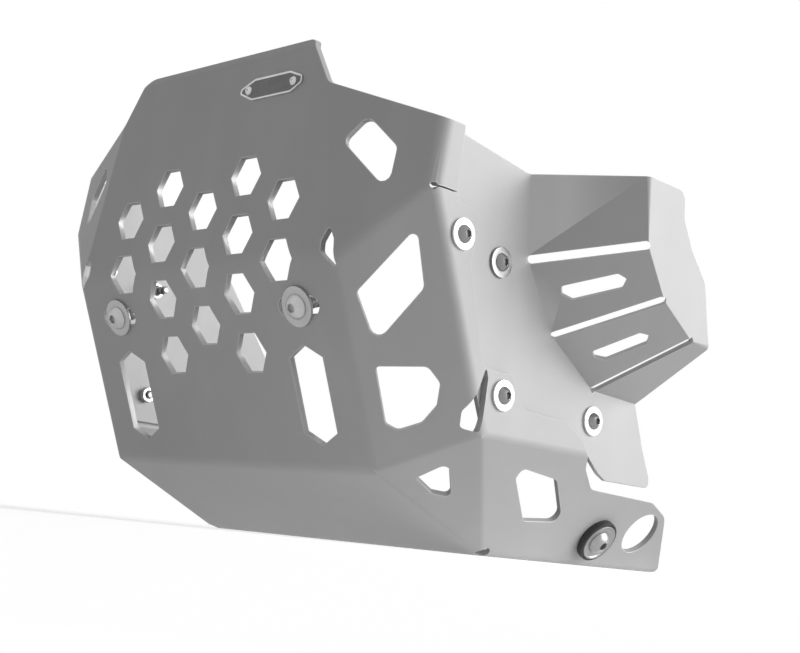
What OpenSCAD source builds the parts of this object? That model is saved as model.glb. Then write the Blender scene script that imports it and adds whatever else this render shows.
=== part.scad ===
// Engine guard for a motorcycle.
// A folded main plate covers the front and the underside of the engine, and a
// bolted plate closes each side. The left one carries a raised, slotted pan
// over the engine's side cover.
// Millimetres. X is across the machine with its left at +X, the front faces -Y
// and +Z is up. The origin is the middle of the flat underside.

/* [Main plate] */
// Thickness of the folded sheet
sheet_t = 4; // [3:0.5:5]
// Half the width over the side flanges
half_w = 172.5; // [165:0.5:180]
// Half the width of the lower front face, at its side bends
face_half_w = 122.5; // [116:0.5:128]
// Length of the flat underside
sole_l = 185; // [170:1:200]
// Half the width of the underside
sole_half_w = 128.7; // [124:0.1:134]
// Foremost line of the front face, ahead of the underside's front edge
nose_ahead = 142; // [132:1:150]
// Height of that foremost line
nose_z = 155; // [148:1:162]
// Radius of the large bend at the foremost line
nose_r = 26; // [14:1:40]
// Lean of the upper front face from upright
upper_lean = 2; // [0:0.5:4]
// Lean of the lower front face from upright
lower_lean = 23.5; // [20:0.5:26]
// Height where the lower front face meets the sloping chin
chin_z = 40; // [34:1:46]
// Angle by which each lower cheek turns back from the front face
cheek_turn = 37.8; // [35:0.1:40]
// Height of the fold between the lower flap and its upright strip
fold_z = 66; // [62:1:70]
// Outer radius of the bends along the side flanges
flange_bend_r = 10; // [7:0.5:12]
// Outer radius of the bends between the front facets
facet_bend_r = 8; // [5:0.5:10]

/* [Upper wings and tab] */
// Height of the tab's top edge
tab_z = 289; // [280:1:300]
// Half the width of the tab at its top
tab_half_w = 80; // [74:0.5:86]
// Radius of the tab's top corners
tab_corner_r = 9; // [4:0.5:12]
// Height of the lip turned back along the tab's top
lip_h = 6; // [4:0.5:9]
// Angle by which that lip turns back
lip_turn = 28; // [15:1:40]
// Height of the shoulder between tab and wing
shoulder_z = 258; // [252:1:264]
// Half width of the upper front face at the shoulder
shoulder_half_w = 99.5; // [95:0.5:104]
// Distance of the wing's foot inside the side edge of the front face
wing_foot_in = 5.5; // [3:0.5:9]
// Height of the wing's foot
wing_foot_z = 164; // [160:1:168]
// Angle by which each wing turns back
wing_turn = 20.4; // [18:0.2:23]
// Height of the wing's outer corner
wing_tip_z = 233.5; // [228:0.5:238]
// Radius of the bend between wing and cheek
wing_bend_r = 15; // [9:0.5:18]

/* [Pattern and slots] */
// Size of a hexagonal opening across its flats
hex_af = 23.8; // [20:0.2:26]
// Distance between rows of hexagons, down the sheet
hex_row = 36; // [34:0.5:38]
// Distance between columns of hexagons
hex_col = 37.3; // [35:0.1:39]
// Place of the middle row of hexagons below the foremost line
hex_down = 0.4; // [-1:0.2:2]
// Sideways place of the front bolts and their slots
front_bolt_x = 87; // [82:0.5:92]
// Place of the front bolts below the foremost line, down the sheet
front_bolt_s = 28; // [26:0.5:31]
// Length of a front bolt slot
bolt_slot_l = 34; // [28:1:38]
// Width of a front bolt slot
bolt_slot_w = 11; // [9:0.5:12]
// Sideways place of the long lower slots
vent_x = 84.5; // [80:0.5:90]
// Width of a long lower slot
vent_w = 27.8; // [22:0.2:32]
// Length of a long lower slot
vent_l = 59.7; // [50:0.1:64]
// Top point of a long lower slot, down the sheet from the foremost line
vent_s = 50.7; // [48:0.1:55]

/* [Lower flaps] */
// Height of the upright strip's top edge
strip_z = 84.5; // [82:0.5:88]
// Height of the bolt tab on that strip
strip_tab_z = 103; // [100:0.5:106]
// Height of the flap's top edge behind the strip
flap_z = 45; // [42:0.5:48]
// Diameter of the round opening in the flap
drain_d = 31; // [26:0.5:34]
// Place of the round opening behind the underside's front edge
drain_y = 139; // [132:1:146]
// Distance of the round opening from the underside's edge, up the flap
drain_up = 29.5; // [27:0.5:31]
// Place of the rubber mount behind the underside's front edge
lower_mount_y = 95; // [88:1:102]
// Distance of the rubber mount from the underside's edge, up the flap
lower_mount_up = 21.7; // [20:0.1:24]

/* [Side plates] */
// Thickness of the side plates
side_t = 3; // [2:0.5:4]
// Height of the pan above the left plate
pan_h = 62; // [52:1:72]
// Amount by which the pan draws in over that height
pan_draft = 31; // [24:1:36]
// Width of the slots between the pan's walls
pan_slot_w = 5; // [3:0.5:7]
// Top edge of the side plates
side_top_z = 223; // [219:1:226]

/* [Fasteners] */
// Thread diameter of the side bolts
m_side = 6; // [5:1:6]
// Head diameter of the side bolts
side_head_d = 10.5; // [9:0.5:12]
// Outer diameter of the side washers
side_washer_d = 18; // [15:0.5:20]
// Thickness of the side washers
side_washer_t = 1.6; // [1:0.2:2.4]
// Thread diameter of the front and lower bolts
m_front = 8; // [7:1:8]
// Head diameter of the front bolts
front_head_d = 14; // [12:0.5:16]
// Outer diameter of the front washers
front_washer_d = 24; // [20:0.5:26]
// Thickness of the front washers
front_washer_t = 2; // [1.2:0.2:3]
// Length of the free shank behind the sheet at the front bolts
front_shank = 22; // [16:1:30]
// Length of the free shank behind the rubber at the lower bolts
lower_shank = 16; // [12:1:22]
// Length of the free shank behind the side plates' spacers
plate_shank = 11; // [8:1:16]
// Length of the spacers behind the side plates
spacer_l = 9; // [6:1:14]
// Diameter of the rubber rings in the lower flaps
grommet_d = 29.5; // [26:0.5:32]
// Thickness of the rubber outside the flap
grommet_out = 4.5; // [3:0.5:6]
// Clearance of a bolt in its hole, all round
bolt_gap = 0.3; // [0.2:0.05:0.6]
// Amount by which a bolt's thread measures less than its nominal diameter
thread_under = 0.4; // [0.34:0.02:0.6]

/* [Badge place] */
// Width of the bare badge plate
badge_w = 56; // [48:1:64]
// Height of the bare badge plate
badge_h = 13.5; // [11:0.5:16]
// Thickness of the bare badge plate
badge_t = 1.2; // [0.8:0.1:2]
// Sideways place of its middle
badge_x = 49; // [44:1:52]
// Distance of its middle below the tab's top edge
badge_down = 26; // [23:0.5:29]

/* [Hidden] */
far = 600;
$fn = 48;

function unit(v) = v/norm(v);
function turn(v, k, a) = v*cos(a) + cross(k, v)*sin(a) + k*(k*v)*(1 - cos(a));

// Reference heights and depths of the folded body
sole_y = -sole_l/2;
nose_y = sole_y - nose_ahead;
chin_y = nose_y + (nose_z - chin_z)*tan(lower_lean);
fall = [0, sin(lower_lean), -cos(lower_lean)];
n_upper = [0, -cos(upper_lean), sin(upper_lean)];
n_lower = [0, -cos(lower_lean), -sin(lower_lean)];
function upper_y(z) = nose_y + (z - nose_z)*tan(upper_lean);

// Corner points on the left half, where four faces meet
p_nose = [0, nose_y, nose_z];
p_chin = [face_half_w, chin_y, chin_z];
p_sole = [sole_half_w, sole_y, 0];
cheek_deep = (half_w - face_half_w)*tan(cheek_turn);
cheek_run = (nose_z + cheek_deep*sin(lower_lean) - fold_z)/cos(lower_lean);
p_fold = [half_w, nose_y + cheek_run*sin(lower_lean) + cheek_deep*cos(lower_lean), fold_z];
wing_foot_half_w = face_half_w - wing_foot_in;
p_wing = [wing_foot_half_w, upper_y(wing_foot_z), wing_foot_z];
p_shoulder = [shoulder_half_w, upper_y(shoulder_z), shoulder_z];

// Outward normals of the facets on the left half
n_side = [1, 0, 0];
n_wing = turn(n_upper, unit(p_shoulder - p_wing), wing_turn);
n_cheek = turn(n_lower, -fall, cheek_turn);
n_chin = unit([0, -(chin_z), -(sole_y - chin_y)]);
n_corner = unit(cross(p_sole - p_chin, p_fold - p_chin));
n_flap = unit([p_fold[2], 0, -(p_fold[0] - p_sole[0])]);
n_sole = [0, 0, -1];

// Where the upper wing, the cheek and the flange plane meet
function on_side(z) = let(d = (half_w - p_chin[0])*tan(cheek_turn), s = (nose_z + d*sin(lower_lean) - z)/cos(lower_lean))
    nose_y + s*sin(lower_lean) + d*cos(lower_lean);
function wing_side(z) = p_wing[1] - ((half_w - p_wing[0])*n_wing[0] + (z - p_wing[2])*n_wing[2])/n_wing[1];
wing_drop = on_side(0) - wing_side(0);
corner_z = wing_drop/((on_side(0) - on_side(100))/100 - (wing_side(0) - wing_side(100))/100);
p_wing_cheek = [half_w, on_side(corner_z), corner_z];

// Moves local X, Y, Z to a face: X level, Y up the face, Z out of it
module facet(p, n) {
    u = unit(cross([0, 0, 1], n));
    v = cross(n, u);
    multmatrix([[u[0], v[0], n[0], p[0]], [u[1], v[1], n[1], p[1]], [u[2], v[2], n[2], p[2]], [0, 0, 0, 1]]) children();
}

// Everything outside a plane that is moved inward by o
module beyond(p, n, o) {
    k = abs(n[2]) > 0.9 ? [1, 0, 0] : [0, 0, 1];
    u = unit(cross(k, n));
    v = cross(n, u);
    q = p - n*o;
    multmatrix([[u[0], v[0], n[0], q[0]], [u[1], v[1], n[1], q[1]], [u[2], v[2], n[2], q[2]], [0, 0, 0, 1]])
        translate([-far, -far, 0]) cube([2*far, 2*far, far]);
}

// Flat section of what a bend of radius r takes off a corner of normals a apart.
// Its first and last chords run on past the faces, so that they cross them cleanly.
module bend_section(a, r, m, n = 4) {
    c = [-r, -r*tan(a/2)];
    arc = [for (i = [0:n]) c + r*[cos(a*i/n), sin(a*i/n)]];
    first = arc[0] + (arc[0] - arc[1])*1.2;
    last = arc[n] + (arc[n] - arc[n - 1])*1.2;
    polygon(concat([[m, c[1] - r*0.3], [m, m*tan(a/2)], c + (m + r)*[cos(a), sin(a)] + r*0.3*[-sin(a), cos(a)], last],
        [for (i = [n:-1:0]) arc[i]], [first]));
}

// Rounds the edge through p between faces of normals a and b
module bend(p, a, b, r, o) {
    q = p - o*(a + b)/(1 + a*b);
    k = unit(cross(a, b));
    v = cross(k, a);
    multmatrix([[a[0], v[0], k[0], q[0]], [a[1], v[1], k[1], q[1]], [a[2], v[2], k[2], q[2]], [0, 0, 0, 1]])
        linear_extrude(height = 2*far, center = true) bend_section(acos(a*b), r - o, r);
}

module both_sides() {
    children();
    mirror([1, 0, 0]) children();
}

// Draws a (Y, Z) outline along X
module across() {
    rotate([90, 0, 90]) children();
}

// Corner of an outline with its two outward normals, moved inward by o
function inset(p, a, b, o) = p - o*(a + b)/(1 + a*b);
function flat(n) = [n[1], n[2]];
n_lip = [0, -cos(upper_lean + lip_turn), sin(upper_lean + lip_turn)];
p_lip = [0, upper_y(tab_z - lip_h), tab_z - lip_h];

// Section of the body seen from the side: lip, upper face, nose, chin, underside
module body_section(o) {
    a = flat(n_lip);
    b = flat(n_upper);
    c = flat(n_lower);
    d = flat(n_chin);
    e = flat(n_sole);
    lip = inset(flat(p_lip), a, b, o);
    nose = inset(flat(p_nose), b, c, o);
    chin = inset(flat(p_chin), c, d, o);
    sole = inset(flat(p_sole), d, e, o);
    difference() {
        polygon([lip + 60*[a[1], -a[0]], lip, nose, chin, sole, [far/2, o], [far/2, tab_z + 60]]);
        section_bend(nose, b, c, nose_r - o);
        section_bend(chin, c, d, facet_bend_r + 4 - o);
        section_bend(sole, d, e, facet_bend_r + 4 - o);
        section_bend(lip, a, b, sheet_t + 3 - o);
    }
}

module section_bend(p, a, b, r) {
    ang = acos(a*b);
    turned = a[0]*b[1] - a[1]*b[0];
    s = turned > 0 ? atan2(a[1], a[0]) : atan2(b[1], b[0]);
    translate(p) rotate(s) bend_section(ang, r, r);
}

// What trims the body on the left: planes, then the bends between them
planes_left = [[p_fold, n_side], [p_wing, n_wing], [p_chin, n_cheek], [p_chin, n_corner], [p_sole, n_flap]];
bends_left = [
    [p_wing, n_upper, n_wing, facet_bend_r], [p_wing_cheek, n_wing, n_side, flange_bend_r],
    [p_wing_cheek, n_wing, n_cheek, wing_bend_r], [p_chin, n_lower, n_cheek, facet_bend_r],
    [p_fold, n_cheek, n_side, flange_bend_r], [p_fold, n_cheek, n_corner, facet_bend_r],
    [p_chin, n_chin, n_corner, facet_bend_r], [p_fold, n_corner, n_flap, facet_bend_r],
    [p_fold, n_flap, n_side, flange_bend_r], [p_sole, n_sole, n_flap, facet_bend_r]];
function flip(v) = [-v[0], v[1], v[2]];
trims = concat(planes_left, [for (t = planes_left) [flip(t[0]), flip(t[1])]],
    bends_left, [for (t = bends_left) [flip(t[0]), flip(t[1]), flip(t[2]), t[3]]]);

module trim(t, o) {
    if (len(t) == 2) beyond(t[0], t[1], o);
    else bend(t[0], t[1], t[2], t[3], o);
}

// The closed outer form, moved inward by o, trimmed one face at a time
module body_form(o, i = len(trims)) {
    if (i == 0)
        across() linear_extrude(height = 2*half_w + 40, center = true) body_section(o);
    else
        difference() {
            body_form(o, i - 1);
            trim(trims[i - 1], o);
        }
}

// Polygon with each corner rounded by radius r, as short chords
function corner_arc(p, c, q, r, n) = let(
        a = unit(p - c), b = unit(q - c), h = acos(max(-1, min(1, a*b)))/2,
        m = c + unit(a + b)*r/sin(h), s = a[0]*b[1] - a[1]*b[0] > 0 ? 1 : -1,
        t = atan2((c + a*r/tan(h) - m)[1], (c + a*r/tan(h) - m)[0]))
    [for (i = [0:n]) m + r*[cos(t - s*i*(180 - 2*h)/n), sin(t - s*i*(180 - 2*h)/n)]];
function rounded(pts, r, n = 4) = let(k = len(pts))
    [for (i = [0:k - 1]) for (p = corner_arc(pts[(i + k - 1) % k], pts[i], pts[(i + 1) % k], is_list(r) ? r[i] : r, n)) p];

// Outline of the main plate seen from the front: tab, shoulders, wing tops
module front_outline() {
    tip = half_w + 30;
    tip_z = wing_tip_z - 30*(shoulder_z - wing_tip_z)/(half_w - shoulder_half_w);
    right = [[tab_half_w, tab_z], [shoulder_half_w, shoulder_z], [tip, tip_z], [tip, -20]];
    rr = [tab_corner_r, 8, 1, 1];
    pts = concat(right, [for (i = [3:-1:0]) [-right[i][0], right[i][1]]]);
    polygon(rounded(pts, concat(rr, [for (i = [3:-1:0]) rr[i]]), 6));
}

// Rear edges of the flanges, the strip with its bolt tab, and the lower flap
wing_rim = p_wing_cheek[1] + 18;
module side_outline() {
    seam = corner_z - 2;
    tab_a = bolt_tab[0] - 13;
    tab_b = bolt_tab[0] + 12;
    rear = sole_y + sole_l;
    pts = [[nose_y - 60, tab_z + 60], [nose_y + 36, tab_z + 60], [wing_rim + 1.5, wing_tip_z + 2], [wing_rim, seam + 3],
        [wing_rim, seam - 5], [bolt_flange[0] + 10, bolt_flange[1] + 17], [bolt_flange[0] + 13, bolt_flange[1] + 2],
        [bolt_flange[0] + 9, bolt_flange[1] - 14], [on_side(strip_tab_z + 2) + 12, strip_tab_z + 2],
        [tab_a + 6, strip_tab_z], [tab_b - 5, strip_tab_z], [tab_b + 9, strip_z],
        [p_fold[1] + 75, strip_z - 1], [p_fold[1] + 93, fold_z + 8], [p_fold[1] + 105, fold_z - 8],
        [p_fold[1] + 122, flap_z + 2], [rear - 54, flap_z], [rear - 30, flap_z - 8], [rear, 3], [rear, -20], [nose_y - 60, -20]];
    r = [1, 1, 6, 1, 1, 4, 5, 4, 1, 3, 4, 3, 12, 8, 8, 14, 12, 20, 3, 1, 1];
    polygon(rounded(pts, r, 5));
}

// Side bolt places, as [Y, Z], shared by both sides
bolt_flange = [on_side(corner_z - 23.9) + 14.5, corner_z - 23.9];
bolt_plate = [on_side(nose_z + 10.5) + 49.6, nose_z + 10.5];
bolt_tab = [p_fold[1] + 14, fold_z + 24.2];
bolt_tail = [sole_y + 44, fold_z + 21.5];

// Point and outward normal on the front sheet, s down from the nose bend's middle
bend_half = nose_r*(upper_lean + lower_lean)/2*PI/180;
bend_c = p_nose - nose_r*(n_upper + n_lower)/(1 + n_upper*n_lower);
function lean_at(s) = s < -bend_half ? -upper_lean : s > bend_half ? lower_lean :
    -upper_lean + (s + bend_half)/(2*bend_half)*(upper_lean + lower_lean);
function normal_at(s) = [0, -cos(lean_at(s)), -sin(lean_at(s))];
function point_at(x, s) = bend_c + nose_r*normal_at(s) + [x, 0, 0]
    + max(0, s - bend_half)*fall + max(0, -bend_half - s)*[0, sin(upper_lean), cos(upper_lean)];

module at_front(x, s) {
    facet(point_at(x, s), normal_at(s)) children();
}

// Cuts a flat outline through the sheet of a facet
module through() {
    translate([0, 0, -sheet_t - 8]) linear_extrude(height = sheet_t + 16) children();
}

module hex_pattern() {
    for (c = [-2:2], r = c % 2 == 0 ? [0, 1, 2] : [-0.5, 0.5, 1.5, 2.5])
        if (abs(c) < 2 || r < 2)
            at_front(c*hex_col, (r - 1)*hex_row + hex_down) translate([0, 0, -sheet_t - 8])
                cylinder(r = hex_af/sqrt(3), h = sheet_t + 16, $fn = 6);
}

module slot(l, w) {
    square([l - w, w], center = true);
    for (s = [-1, 1]) translate([s*(l - w)/2, 0]) circle(d = w);
}

module vent() {
    e = vent_w*0.27;
    polygon([[0, 0], [vent_w/2, -e], [vent_w/2, e - vent_l], [0, -vent_l], [-vent_w/2, e - vent_l], [-vent_w/2, -e]]);
}

// Cuts an outline that widens with its facet, by k, sideways from the facet's crease
module through_wall(p, n, crease, k) {
    u = unit(cross([0, 0, 1], n));
    run = (crease*u)/(crease*cross(n, u));
    facet(p, n) through() multmatrix([[k, (1 - k)*run, 0, 0], [0, 1, 0, 0], [0, 0, 1, 0], [0, 0, 0, 1]]) children();
}
module on_cheek() { through_wall(p_chin, n_cheek, fall, (half_w - face_half_w)/50) children(); }
module on_wing() { through_wall(p_wing, n_wing, p_shoulder - p_wing, (half_w - wing_foot_half_w)/55.5) children(); }

// Corner of an opening in the corner facet, as shares of the facet's two lower edges
function in_corner(a, b) = let(u = unit(cross([0, 0, 1], n_corner)), v = cross(n_corner, u), p = a*(p_fold - p_chin) + b*(p_sole - p_chin)) [p*u, p*v];

// Openings in the wing, cheek, corner and flap of one side
module side_openings() {
    on_wing() polygon(rounded([[0, 57.5], [13.5, 72.5], [34, 53.5], [32, 27.5]], 5));
    on_cheek() polygon(rounded([[-17.5, 101], [13, 139.5], [19.5, 106.5], [-5, 73]], [3, 3, 6, 5]));
    on_cheek() polygon(rounded([[-4, 60.5], [25, 63], [32.5, 54.5], [31.5, 41.5], [24, 31], [11, 25.5], [4, 28.5]], [2, 5, 4, 5, 5, 5, 3]));
    facet(p_chin, n_corner) through() polygon(rounded([in_corner(0.225, 0.155), in_corner(0.567, 0.126), in_corner(0.2955, 0.408), in_corner(0.202, 0.322)], [2, 4, 3, 3]));
    facet(p_sole, n_flap) through() polygon(rounded([[-12.5, 63], [24, 59], [53, 30.5], [17, 27.6], [-12.5, 55.6]], [4, 8, 5, 6, 3]));
    facet(p_sole, n_flap) through() translate([drain_y, drain_up]) circle(d = drain_d);
    facet(p_sole, n_flap) through() translate([lower_mount_y, lower_mount_up]) circle(d = grommet_d - 7.5);
}

// Relief cuts where several bends meet
module side_reliefs() {
    translate([0, nose_y - 20, nose_z]) rotate([90, 0, 0]) mirror([0, 0, 1]) linear_extrude(height = 40)
        translate([face_half_w, 0]) polygon(rounded([[-5.5, 16], [-10.5, 8], [-10.5, 2], [1, -8], [-1, 2], [-2, 9]], [1, 4, 4, 1, 4, 3]));
    translate([half_w - 20, p_wing_cheek[1] + 1, corner_z - 2]) rotate([0, 90, 0]) cylinder(d = 3.6, h = 40);
    translate([half_w - 12, p_wing_cheek[1] + 1, corner_z - 2.4]) cube([30, 40, 0.8]);
    translate([half_w - 18, 0, 0]) across() linear_extrude(height = 40)
        polygon(rounded([[p_fold[1] - 1.5, fold_z + 38], [p_fold[1] + 0.7, fold_z + 32], [p_fold[1] - 1, fold_z + 1],
            [p_fold[1] - 9, fold_z + 3], [p_fold[1] - 11, fold_z + 12]], [0.8, 3, 1.5, 3, 5]));
    k = unit(n_flap + n_chin + n_sole);
    facet(p_sole, k) translate([0, 0, -14]) cylinder(r = 4.5, h = 24);
}

module bolt_hole(p, d) {
    translate([half_w - 20, p[0], p[1]]) rotate([0, 90, 0]) cylinder(d = d + 2*bolt_gap, h = 40);
}

module main_plate() {
    color("silver") difference() {
        intersection() {
            difference() {
                body_form(0);
                body_form(sheet_t);
            }
            across() linear_extrude(height = 2*far, center = true) side_outline();
            rotate([90, 0, 0]) linear_extrude(height = 2*far, center = true) front_outline();
        }
        hex_pattern();
        both_sides() {
            at_front(front_bolt_x, front_bolt_s) through() slot(bolt_slot_l, bolt_slot_w);
            at_front(vent_x, vent_s) through() vent();
            side_openings();
            side_reliefs();
            bolt_hole(bolt_flange, m_side);
            bolt_hole(bolt_tab, m_side);
        }
        for (x = [-1, 1]) badge_place() translate([x*badge_w*0.36, 0, -sheet_t - 4]) cylinder(d = 3, h = sheet_t + 8);
    }
}

// Side plates lie against the inner faces of the flanges
side_x = half_w - sheet_t;
side_y = on_side(nose_z);
pan_base = [[side_y + 65, nose_z + 73], [side_y + 69.8, nose_z + 17.3], [side_y + 98.2, nose_z - 23.1],
    [side_y + 141.8, nose_z - 49], [side_y + 188.2, nose_z - 51]];
function edge_dir(i) = unit(pan_base[i + 1] - pan_base[i]);
function edge_in(i) = [-edge_dir(i)[1], edge_dir(i)[0]];
function wall_up(i) = unit([pan_h, edge_in(i)[0]*pan_draft, edge_in(i)[1]*pan_draft]);
function wall_n(i) = unit(cross([0, edge_dir(i)[0], edge_dir(i)[1]], wall_up(i)));
function wall_at(i) = [side_x, pan_base[i][0], pan_base[i][1]];
// Corner of the pan's crown above base corner i
function crown(i) = let(a = edge_in(i - 1), b = edge_in(i)) pan_base[i] + pan_draft*(a + b)/(1 + a*b);

// Shared front and lower edge of both side plates
side_front = [[on_side(corner_z) + 8, wing_tip_z - 1.5], [on_side(corner_z) + 8, corner_z - 12],
    [on_side(fold_z + 4.5) + 7, fold_z + 4.5], [p_fold[1] + 98, fold_z + 4.5], [p_fold[1] + 116, fold_z - 9.5],
    [p_fold[1] + 124, fold_z - 13], [sole_y + 109.5, fold_z - 13], [sole_y + 109.5, fold_z - 6.5],
    [sole_y + 100, fold_z + 11], [pan_base[4][0], pan_base[4][1]]];
side_front_r = [4, 1, 3, 6, 6, 4, 3, 4, 6, 4];

module left_outline() {
    polygon(rounded(concat(side_front, [[crown(3)[0] + 18.5, crown(3)[1] + 2], [side_y + 161.7, nose_z + 18.5],
        [side_y + 145.2, nose_z + 35], [side_y + 134.7, nose_z + 52], [side_y + 133.7, side_top_z],
        [pan_base[0][0] - 4, side_top_z]]), concat(side_front_r, [4, 12, 14, 8, 7, 6]), 5));
}

module right_outline() {
    polygon(rounded(concat(side_front, [[side_y + 107.7, side_top_z - 22], [pan_base[0][0] - 4, side_top_z]]),
        concat(side_front_r, [14, 6]), 5));
}

// Closed form of the pan, moved inward by o
module pan_form(o) {
    difference() {
        translate([side_x - side_t - o, pan_base[0][0] - pan_h, pan_base[4][1] - pan_h]) cube([pan_h + side_t, 3.6*pan_h, 3.6*pan_h]);
        for (i = [0:3]) beyond(wall_at(i), wall_n(i), o);
    }
}

module pan_slots() {
    for (i = [1:3]) {
        a = [side_x, pan_base[i][0], pan_base[i][1]];
        b = [side_x + pan_h, crown(i)[0], crown(i)[1]];
        k = unit(b - a);
        n = unit(wall_n(i - 1) + wall_n(i));
        t = cross(n, k);
        multmatrix([[k[0], t[0], n[0], a[0]], [k[1], t[1], n[1], a[1]], [k[2], t[2], n[2], a[2]], [0, 0, 0, 1]])
            translate([norm(b - a)/2, 0, -12]) linear_extrude(height = 20) slot(norm(b - a) + 2, pan_slot_w);
    }
}

// A long tapered opening in pan wall i, at c along it and d up it
module pan_window(i, c, d, l, w) {
    t = [0, edge_dir(i)[0], edge_dir(i)[1]];
    k = wall_up(i);
    n = wall_n(i);
    a = wall_at(i) + t*c + k*d;
    multmatrix([[k[0], -t[0], n[0], a[0]], [k[1], -t[1], n[1], a[1]], [k[2], -t[2], n[2], a[2]], [0, 0, 0, 1]])
        translate([0, 0, -side_t - 5]) linear_extrude(height = side_t + 10)
            polygon(rounded([[0, w/2], [l - 4, w/2 - 0.5], [l, 0], [l - 4, -w/2], [4, -w/2], [-1, 0]], [2, 2, 1, 2, 2, 1], 3));
}

module side_plate_holes() {
    bolt_hole(bolt_flange, m_side);
    bolt_hole(bolt_plate, m_side);
    bolt_hole(bolt_tab, m_side);
    bolt_hole(bolt_tail, m_side);
}

module left_side_plate() {
    color("gainsboro") difference() {
        intersection() {
            difference() {
                union() {
                    translate([side_x - side_t, nose_y, 0]) cube([side_t, 1.7*sole_l, side_top_z + 40]);
                    pan_form(0);
                }
                pan_form(side_t);
            }
            across() linear_extrude(height = far) left_outline();
        }
        pan_slots();
        pan_window(1, 25, 14, 38, 9.5);
        pan_window(2, 27, 15, 35, 10);
        side_plate_holes();
    }
}

module right_side_plate() {
    color("gainsboro") mirror([1, 0, 0]) difference() {
        translate([side_x - side_t, 0, 0]) across() linear_extrude(height = side_t) right_outline();
        side_plate_holes();
    }
}

// Screw shank below z = 0: a plain grip, then a thread that measures a little less
module shank(d, grip, free, up) {
    translate([0, 0, -grip]) cylinder(d = d, h = grip + up);
    translate([0, 0, -grip - free]) cylinder(d = d - thread_under, h = free);
}

// Domed screw with its head's underside at z = 0
module dome_bolt(d, head_d, grip, free) {
    head_h = head_d*0.32;
    dome_r = (head_d*head_d/4 + head_h*head_h)/(2*head_h);
    difference() {
        union() {
            intersection() {
                cylinder(d = head_d, h = head_h);
                translate([0, 0, head_h*1.06 - dome_r]) sphere(r = dome_r, $fn = 96);
            }
            shank(d, grip, free, head_h*0.4);
        }
        translate([0, 0, head_h*0.4]) cylinder(r = d*0.64/sqrt(3), h = head_h, $fn = 6);
    }
}

module ring(od, id, t) {
    difference() {
        cylinder(d = od, h = t);
        translate([0, 0, -1]) cylinder(d = id, h = t + 2);
    }
}

module hex_nut(d) {
    difference() {
        cylinder(r = d*1.67/sqrt(3), h = d*0.8, $fn = 6);
        translate([0, 0, -1]) cylinder(d = d, h = d + 2);
    }
}

// Seats on the left: x is the outer face that carries the washer
module on_left(x, p) {
    translate([x, p[0], p[1]]) rotate([0, 90, 0]) rotate(30) children();
}

side_stack = sheet_t + side_t;
nut_h = m_side*0.8;

module flange_bolt(p) { color("dimgray") on_left(half_w + side_washer_t, p) dome_bolt(m_side, side_head_d, side_washer_t + side_stack, nut_h + 1.5); }
module flange_washer(p) { color("white") on_left(half_w, p) ring(side_washer_d, m_side + 2*bolt_gap, side_washer_t); }
module flange_nut(p) { color("darkgray") on_left(half_w - side_stack - nut_h, p) hex_nut(m_side); }
module plate_bolt(p) { color("dimgray") on_left(side_x + side_washer_t, p) dome_bolt(m_side, side_head_d, side_washer_t + side_t + spacer_l, plate_shank); }
module plate_washer(p) { color("lightgray") on_left(side_x, p) ring(side_washer_d, m_side + 2*bolt_gap, side_washer_t); }
module plate_spacer(p) { color("darkgray") on_left(side_x - side_t - spacer_l, p) ring(m_side*2, m_side + 2*bolt_gap, spacer_l); }

module left_flange_bolt() { flange_bolt(bolt_flange); }
module left_flange_washer() { flange_washer(bolt_flange); }
module left_flange_nut() { flange_nut(bolt_flange); }
module left_plate_bolt() { plate_bolt(bolt_plate); }
module left_plate_washer() { plate_washer(bolt_plate); }
module left_plate_spacer() { plate_spacer(bolt_plate); }
module left_tab_bolt() { flange_bolt(bolt_tab); }
module left_tab_washer() { flange_washer(bolt_tab); }
module left_tab_nut() { flange_nut(bolt_tab); }
module left_tail_bolt() { plate_bolt(bolt_tail); }
module left_tail_washer() { plate_washer(bolt_tail); }
module left_tail_spacer() { plate_spacer(bolt_tail); }
module right_flange_bolt() { mirror([1, 0, 0]) flange_bolt(bolt_flange); }
module right_flange_washer() { mirror([1, 0, 0]) flange_washer(bolt_flange); }
module right_flange_nut() { mirror([1, 0, 0]) flange_nut(bolt_flange); }
module right_plate_bolt() { mirror([1, 0, 0]) plate_bolt(bolt_plate); }
module right_plate_washer() { mirror([1, 0, 0]) plate_washer(bolt_plate); }
module right_plate_spacer() { mirror([1, 0, 0]) plate_spacer(bolt_plate); }
module right_tab_bolt() { mirror([1, 0, 0]) flange_bolt(bolt_tab); }
module right_tab_washer() { mirror([1, 0, 0]) flange_washer(bolt_tab); }
module right_tab_nut() { mirror([1, 0, 0]) flange_nut(bolt_tab); }
module right_tail_bolt() { mirror([1, 0, 0]) plate_bolt(bolt_tail); }
module right_tail_washer() { mirror([1, 0, 0]) plate_washer(bolt_tail); }
module right_tail_spacer() { mirror([1, 0, 0]) plate_spacer(bolt_tail); }

module front_bolt() { color("dimgray") at_front(front_bolt_x, front_bolt_s) translate([0, 0, front_washer_t]) dome_bolt(m_front, front_head_d, front_washer_t + sheet_t, front_shank); }
module front_washer() { color("lightgray") at_front(front_bolt_x, front_bolt_s) ring(front_washer_d, m_front + 2*bolt_gap, front_washer_t); }
module front_bolt_left() { front_bolt(); }
module front_bolt_right() { mirror([1, 0, 0]) front_bolt(); }
module front_washer_left() { front_washer(); }
module front_washer_right() { mirror([1, 0, 0]) front_washer(); }

// Rubber-mounted lower bolts, standing square to the flap
grommet_in = 3;
sleeve_d = 12;
cup_t = 2;
cup_d = 21;
module on_flap() { facet(p_sole, n_flap) translate([lower_mount_y, lower_mount_up, 0]) children(); }

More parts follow.
